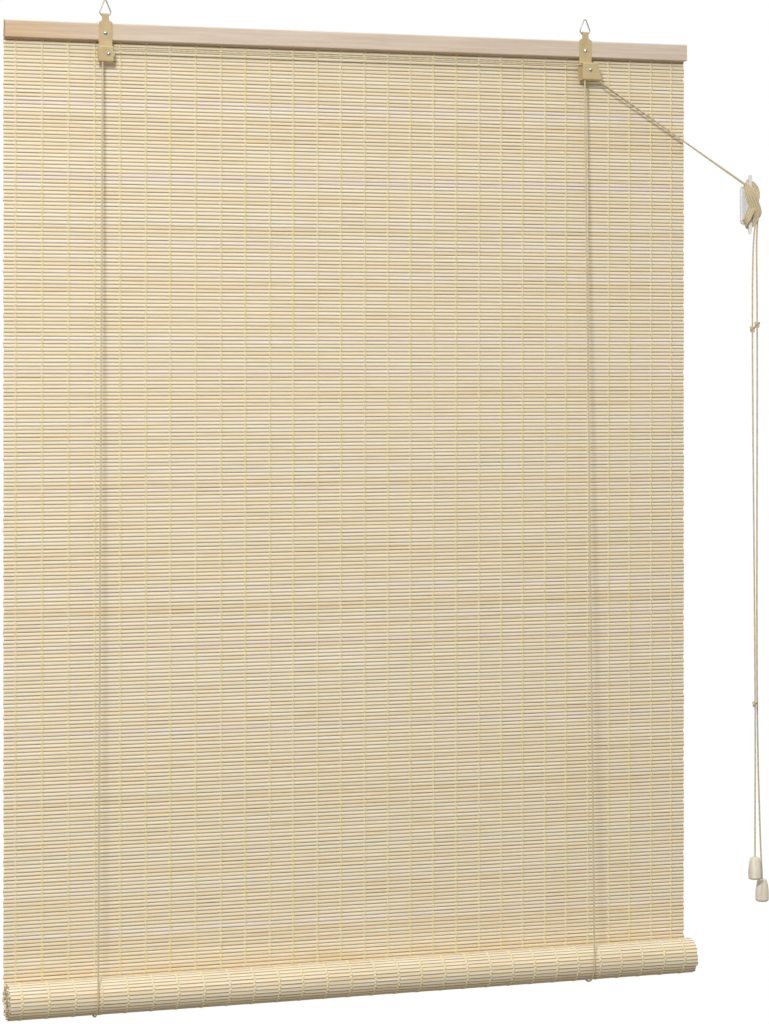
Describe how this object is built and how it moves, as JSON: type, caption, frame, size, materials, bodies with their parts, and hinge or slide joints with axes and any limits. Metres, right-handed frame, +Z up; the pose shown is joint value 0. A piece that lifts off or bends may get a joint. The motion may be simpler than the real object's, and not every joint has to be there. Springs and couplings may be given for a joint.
{
  "type": "bamboo roll-up blind",
  "caption": "Window blind of woven bamboo slats that rolls up from below on two cords, with head rail, hang rings, corded brackets, wall cleat and acorn cord ends.",
  "frame": {"origin": "middle of the line between the two hooks that the blind hangs on, at the inside top of the hang rings", "axes": "+X along the head rail to the right of someone facing the blind, +Y towards the wall, +Z up"},
  "size_m": [1.1346, 0.0646, 1.3795],
  "materials": {
    "bamboo": "bare split bamboo, dull",
    "rail_wood": "planed softwood, bare",
    "acorn_wood": "turned, thinly lacquered",
    "bracket_paint": "khaki gold, semi-gloss",
    "rivet_steel": "plated, bright",
    "staple_steel": "bright",
    "ring_wire": "plated wire, bright",
    "wheel_plastic": "moulded, matt",
    "cleat_plastic": "moulded, slightly translucent",
    "cord": "braided"
  },
  "bodies": {
    "blind": {"head_rail": "rail_wood", "top_slats": "bamboo", "slat_field": "bamboo", "field_staples": "staple_steel", "cord_staples": "staple_steel", "bracket_left": "bracket_paint", "bracket_right": "bracket_paint", "bracket_nails": "rivet_steel", "axle_rivet_left": "rivet_steel", "axle_rivet_right": "rivet_steel", "cord_back_left": "cord", "cord_back_right": "cord", "cord_front_left": "cord", "cord_front_right": "cord", "pull_cord_left": "cord", "pull_cord_right": "cord", "cord_cleat": "cleat_plastic", "cleat_winding": "cord", "pull_cord_left_tail": "cord", "pull_cord_right_tail": "cord", "acorn_left": "acorn_wood", "acorn_right": "acorn_wood", "stopper_knot_left": "cord", "stopper_knot_right": "cord"},
    "carriage": {"cord_sling_left": "cord", "cord_sling_right": "cord"},
    "roll": {"rolled_slats": "bamboo", "bottom_batten": "rail_wood"},
    "wheel_left": {"pulley_left": "wheel_plastic"},
    "wheel_right_rear": {"pulley_right_rear": "wheel_plastic"},
    "wheel_right_front": {"pulley_right_front": "wheel_plastic"},
    "ring_left": {"hang_ring_left": "ring_wire"},
    "ring_right": {"hang_ring_right": "ring_wire"}
  },
  "joints": [
    {"name": "lift", "type": "slide", "parent": "blind", "child": "carriage", "axis": [0, 0, 1], "range_m": [0, 1.13], "deforming": ["slat_field", "cord_front_left", "cord_front_right", "cord_back_left", "cord_back_right"]},
    {"name": "roll_turn", "type": "hinge", "parent": "carriage", "child": "roll", "pos_m": [0, -0.0139, -1.35], "axis": [1, 0, 0], "range_deg": [-2035.1, 0]},
    {"name": "wheel_turn_left", "type": "hinge", "parent": "blind", "child": "wheel_left", "pos_m": [-0.3486, -0.0046, -0.073], "axis": [0, 1, 0], "range_deg": [0, 17039]},
    {"name": "wheel_turn_right_rear", "type": "hinge", "parent": "blind", "child": "wheel_right_rear", "pos_m": [0.3554, -0.0046, -0.073], "axis": [0, 1, 0], "range_deg": [0, 17039]},
    {"name": "wheel_turn_right_front", "type": "hinge", "parent": "blind", "child": "wheel_right_front", "pos_m": [0.3554, -0.0088, -0.073], "axis": [0, 1, 0], "range_deg": [0, 17039]},
    {"name": "ring_swing_left", "type": "hinge", "parent": "blind", "child": "ring_left", "pos_m": [-0.3515, 0, -0.0198], "axis": [1, 0, 0], "range_deg": [-120, 150]},
    {"name": "ring_swing_right", "type": "hinge", "parent": "blind", "child": "ring_right", "pos_m": [0.3515, 0, -0.0198], "axis": [1, 0, 0], "range_deg": [-120, 150]}
  ],
  "couplings": [
    {"joint": "roll_turn", "follows": "lift", "rad_per_m": -31.417},
    {"joint": "wheel_turn_left", "follows": "lift", "rad_per_m": 263.16},
    {"joint": "wheel_turn_right_rear", "follows": "lift", "rad_per_m": 263.16},
    {"joint": "wheel_turn_right_front", "follows": "lift", "rad_per_m": 263.16}
  ]
}
